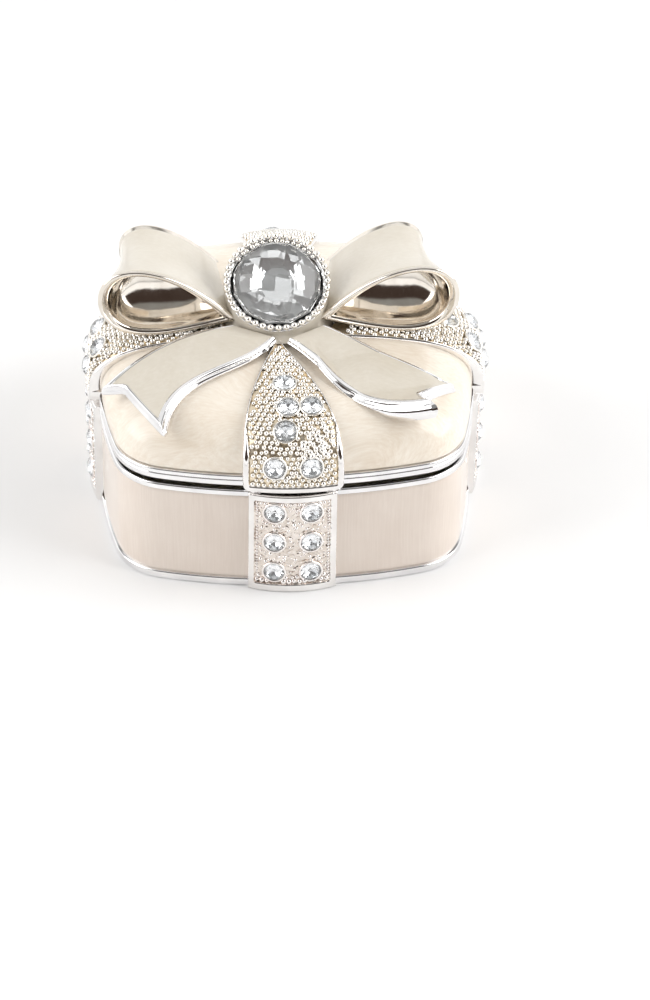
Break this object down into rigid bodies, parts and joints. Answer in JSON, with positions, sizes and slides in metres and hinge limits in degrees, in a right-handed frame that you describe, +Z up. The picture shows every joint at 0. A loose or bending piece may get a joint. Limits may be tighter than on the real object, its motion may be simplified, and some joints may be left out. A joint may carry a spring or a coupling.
{
  "type": "vanity trinket box",
  "caption": "Square gift-shaped trinket box in enamelled, silver-plated metal with a hinged domed lid, beaded crystal ribbons and a bow with a large round stone.",
  "frame": {"origin": "middle of the flat underside of the base", "axes": "+Z up out of the lid, -Y towards the front (magnet side), +X to the right as seen from the front, hinge at +Y"},
  "size_m": [0.061, 0.0626, 0.0409],
  "materials": {
    "plated_silver": "bright silver plating over cast zinc alloy",
    "hinge_metal": "bright plated sheet steel, fine wear at the knuckles",
    "base_enamel": "glossy pinkish ivory pearl enamel with fine vertical streaks",
    "lid_enamel": "glossy warm cream pearl enamel with swirled brush marks",
    "bow_enamel": "glossy flat ivory enamel",
    "inner_enamel": "glossy cream pearl enamel with brushed streaks",
    "crystal": "clear faceted crystal with foiled back",
    "stone": "clear checkerboard-cut glass stone",
    "foil": "mirror foil",
    "magnet": "nickel-plated neodymium disc"
  },
  "bodies": {
    "base": {"base_casting": "plated_silver", "base_lining": "inner_enamel", "base_magnet": "magnet", "base_enamel_front_left": "base_enamel", "base_enamel_front_right": "base_enamel", "base_enamel_back_left": "base_enamel", "base_enamel_back_right": "base_enamel", "base_crystals_front": "crystal", "base_crystals_right": "crystal", "base_crystals_back": "crystal", "base_crystals_left": "crystal", "hinge_base_leaf": "hinge_metal", "hinge_base_rivets": "hinge_metal", "hinge_pin": "hinge_metal"},
    "lid": {"hinge_lid_leaf": "hinge_metal", "hinge_lid_rivets": "hinge_metal", "lid_casting": "plated_silver", "lid_lining": "inner_enamel", "lid_magnet_cup": "plated_silver", "lid_magnet": "magnet", "lid_enamel_front_left": "lid_enamel", "lid_enamel_front_right": "lid_enamel", "lid_enamel_back_left": "lid_enamel", "lid_enamel_back_right": "lid_enamel", "lid_crystals_front": "crystal", "lid_crystals_right": "crystal", "lid_crystals_back": "crystal", "lid_crystals_left": "crystal", "knot_core": "bow_enamel", "knot_cup": "plated_silver", "bead_ring": "plated_silver", "stone_foil": "foil", "centre_stone": "stone", "bow_loop_left": "plated_silver", "bow_loop_right": "plated_silver", "loop_enamel_left": "bow_enamel", "loop_enamel_right": "bow_enamel", "bow_tail_left": "plated_silver", "bow_tail_right": "plated_silver", "tail_enamel_left": "bow_enamel", "tail_enamel_right": "bow_enamel"}
  },
  "joints": [
    {"name": "lid_hinge", "type": "hinge", "parent": "base", "child": "lid", "pos_m": [0, 0.0309, 0.0178], "axis": [-1, 0, 0], "range_deg": [0, 100]}
  ]
}
